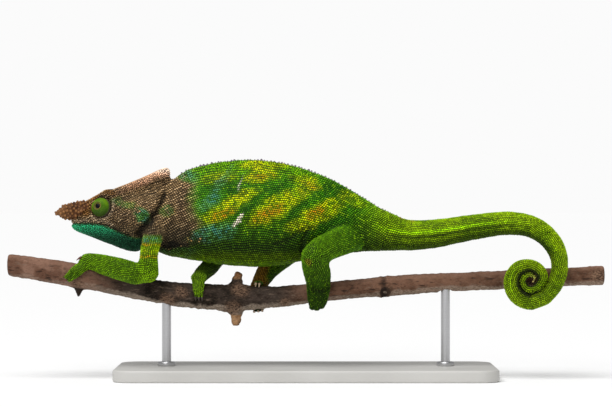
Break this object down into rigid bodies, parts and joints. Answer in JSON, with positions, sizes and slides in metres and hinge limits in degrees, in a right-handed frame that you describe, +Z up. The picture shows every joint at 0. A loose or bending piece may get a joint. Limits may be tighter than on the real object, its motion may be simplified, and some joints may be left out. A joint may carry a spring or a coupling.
{
  "type": "chameleon model on a perch",
  "caption": "Still, life-size model of a male two-horned crested chameleon walking along a cut branch, held over a flat base by two short rods.",
  "frame": {"origin": "middle of the underside of the stand's base, on the floor", "axes": "+X from the head to the tail along the branch, +Y to the animal's right, +Z up"},
  "size_m": [0.394, 0.1, 0.1446],
  "materials": {
    "body_skin": "fine granular scales, leaf green with ochre and turquoise bands, satin",
    "head_skin": "plated and granular scales, brown with turquoise flecks, satin",
    "throat_skin": "fine granular scales, turquoise green, satin",
    "horn": "warty horn, rust brown",
    "eye_lid": "fine granular lid, bright green",
    "eyeball": "wet, clear over a gold rim and a black pupil",
    "bark": "rough bark, grey to red brown, peeling in places",
    "stand_paint": "sprayed satin paint, warm light grey",
    "rod_steel": "brushed"
  },
  "bodies": {
    "root": {"perch_branch": "bark", "stand_base": "stand_paint", "stand_rod_1": "rod_steel", "stand_rod_2": "rod_steel", "eye_turret_left": "eye_lid", "eyeball_left": "eyeball", "horn_left": "horn", "eye_turret_right": "eye_lid", "eyeball_right": "eyeball", "horn_right": "horn", "head": "head_skin", "lower_jaw": "throat_skin", "casque": "head_skin", "neck": "body_skin", "chest": "body_skin", "belly": "body_skin", "pelvis": "body_skin", "tail_root": "body_skin", "tail_1": "body_skin", "tail_2": "body_skin", "tail_3": "body_skin", "tail_4": "body_skin", "tail_5": "body_skin", "tail_6": "body_skin", "tail_7": "body_skin", "tail_8": "body_skin", "upper_arm_front_left": "body_skin", "forearm_front_left": "body_skin", "hand_front_left": "body_skin", "toes_near_front_left": "body_skin", "toes_far_front_left": "body_skin", "upper_arm_front_right": "body_skin", "forearm_front_right": "body_skin", "hand_front_right": "body_skin", "toes_near_front_right": "body_skin", "toes_far_front_right": "body_skin", "thigh_hind_left": "body_skin", "shank_hind_left": "body_skin", "foot_hind_left": "body_skin", "toes_near_hind_left": "body_skin", "toes_far_hind_left": "body_skin", "thigh_hind_right": "body_skin", "shank_hind_right": "body_skin", "foot_hind_right": "body_skin", "toes_near_hind_right": "body_skin", "toes_far_hind_right": "body_skin"}
  },
  "joints": []
}
